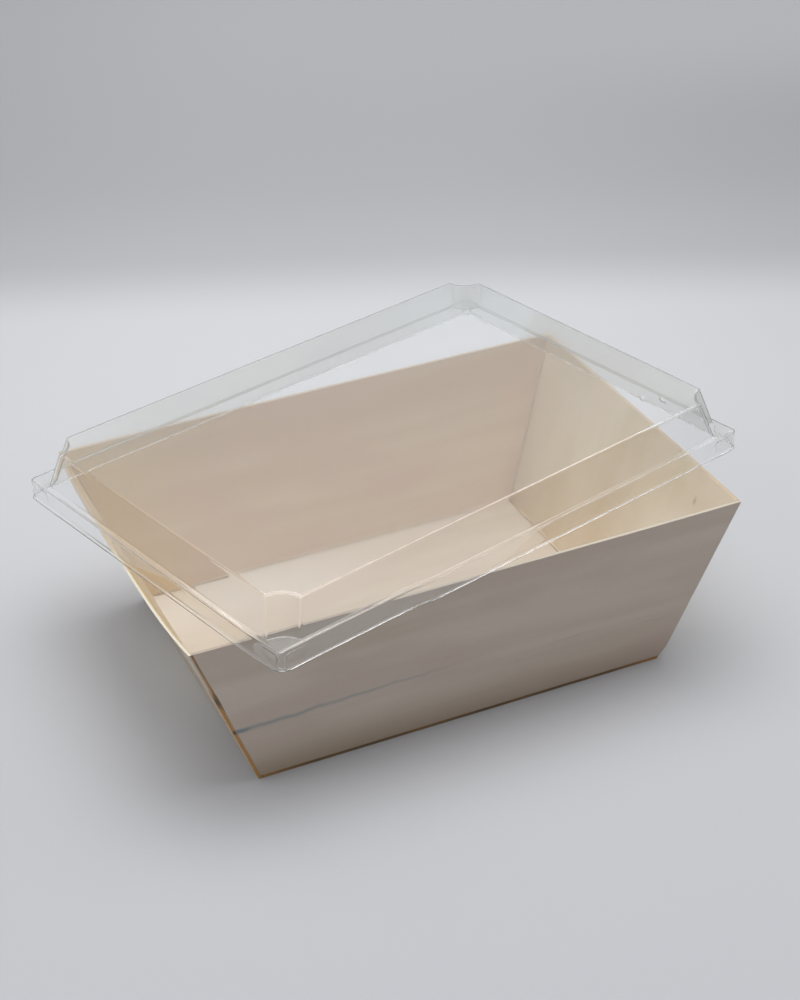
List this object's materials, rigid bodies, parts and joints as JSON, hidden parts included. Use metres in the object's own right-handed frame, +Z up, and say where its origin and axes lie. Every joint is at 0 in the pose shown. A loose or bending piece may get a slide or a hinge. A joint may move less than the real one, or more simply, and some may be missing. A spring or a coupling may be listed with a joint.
{
  "type": "lidded wooden food tray",
  "caption": "Tapered rectangular food tray of thin glued wood veneer with a clear formed plastic lid lying askew on its rim.",
  "frame": {"origin": "centre of the tray's underside, on the surface that the tray stands on", "axes": "+X along the long front panel to the right, +Y from the front panel to the back panel, +Z up out of the tray"},
  "size_m": [0.234, 0.1934, 0.086],
  "materials": {
    "floor_veneer": "bare sliced veneer",
    "front_veneer": "bare sliced veneer",
    "back_veneer": "bare sliced veneer",
    "left_end_veneer": "bare sliced veneer",
    "right_end_veneer": "bare sliced veneer",
    "seam_glue": "set amber glue",
    "clear_sheet": "clear thermoformed sheet"
  },
  "bodies": {
    "tray": {"bottom_panel": "floor_veneer", "front_panel": "front_veneer", "back_panel": "back_veneer", "left_end_panel": "left_end_veneer", "right_end_panel": "right_end_veneer", "front_left_corner_glue": "seam_glue", "front_right_corner_glue": "seam_glue", "back_right_corner_glue": "seam_glue", "back_left_corner_glue": "seam_glue", "front_floor_glue": "seam_glue", "right_floor_glue": "seam_glue", "back_floor_glue": "seam_glue", "left_floor_glue": "seam_glue"},
    "lid": {"lid": "clear_sheet"}
  },
  "joints": [
    {"name": "lid_lift", "type": "slide", "parent": "tray", "child": "lid", "axis": [0, 0, 1], "range_m": [0, 0.12]}
  ]
}
